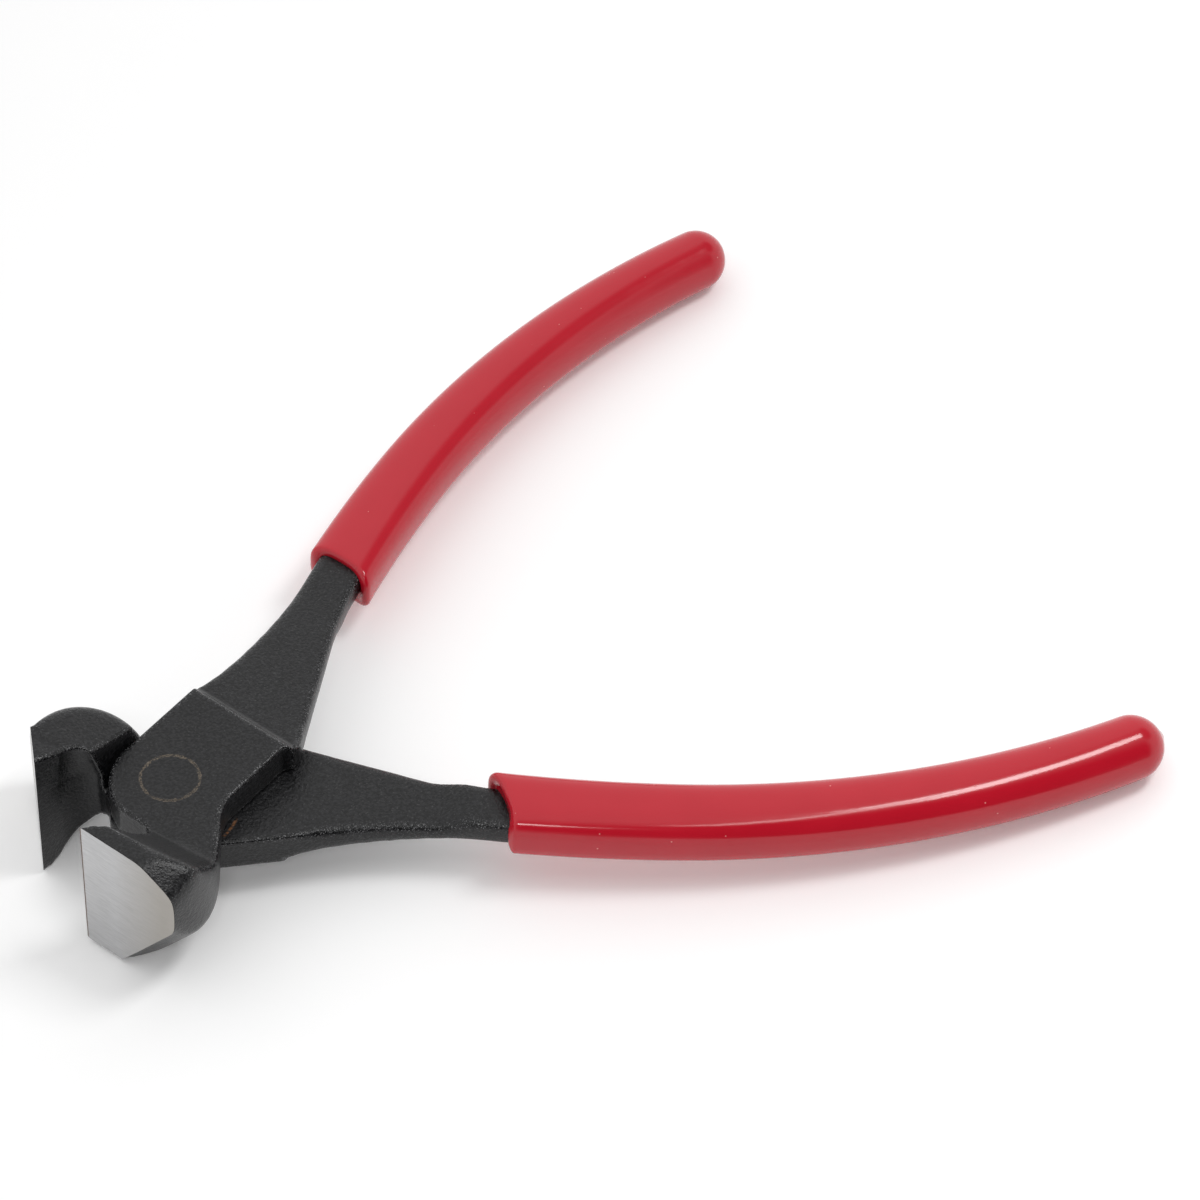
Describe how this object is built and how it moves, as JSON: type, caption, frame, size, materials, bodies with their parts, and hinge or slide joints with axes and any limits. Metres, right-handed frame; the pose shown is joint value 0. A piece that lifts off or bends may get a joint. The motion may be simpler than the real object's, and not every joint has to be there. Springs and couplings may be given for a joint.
{
  "type": "end cutting nippers",
  "caption": "Hand nippers with wide end-cutting jaws across the nose, a lap joint on a flush rivet, and bowed handles in dipped red grips.",
  "frame": {"origin": "on the pivot axis, in the joint's back face: the flat plate face on the far side from the edges' thick ends", "axes": "+Z along the pivot axis, out of the joint's front face; +X along the line that halves the angle between the handles, towards the handles; the cutting edges are at -X and the upper half's handle is on +Y"},
  "size_m": [0.1746, 0.1512, 0.0289],
  "materials": {
    "forging_steel": "black oxide over a shot-blasted forging, satin to matte",
    "rivet_steel": "black oxide, flush with the joint's faces, rust in the ring around it",
    "grip_vinyl": "glossy dipped vinyl"
  },
  "bodies": {
    "lower": {"lower_forging": "forging_steel", "pivot_rivet": "rivet_steel", "lower_grip": "grip_vinyl"},
    "upper": {"upper_forging": "forging_steel", "upper_grip": "grip_vinyl"}
  },
  "joints": [
    {"name": "jaw_pivot", "type": "hinge", "parent": "lower", "child": "upper", "pos_m": [0, 0, 0.00645], "axis": [0, 0, 1], "range_deg": [-43.2, 2]}
  ]
}
